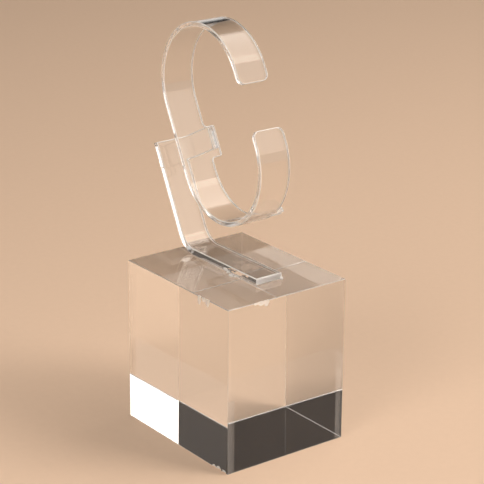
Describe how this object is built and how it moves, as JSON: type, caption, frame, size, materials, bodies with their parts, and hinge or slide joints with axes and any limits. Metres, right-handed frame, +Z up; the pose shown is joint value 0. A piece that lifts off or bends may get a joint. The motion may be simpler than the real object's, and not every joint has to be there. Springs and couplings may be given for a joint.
{
  "type": "watch stand",
  "caption": "Clear block with a bent clear strip on top that holds an open C-shaped collar, tilted back, for showing one wristwatch by its closed band.",
  "frame": {"origin": "middle of the block's underside", "axes": "+Z up, -Y the front that the watch faces, +X the side that the bracket's arm and the collar's tab are on"},
  "size_m": [0.05, 0.0733, 0.1458],
  "materials": {
    "block_acrylic": "clear cast acrylic, sawn and polished on all faces, small arrises",
    "bracket_acrylic": "clear acrylic sheet, polished faces and cut edges, heat-bent",
    "collar_acrylic": "clear plastic sheet, polished, heat-formed into an open ring"
  },
  "bodies": {
    "root": {"acrylic_block": "block_acrylic", "bent_bracket": "bracket_acrylic", "watch_collar": "collar_acrylic"}
  },
  "joints": []
}
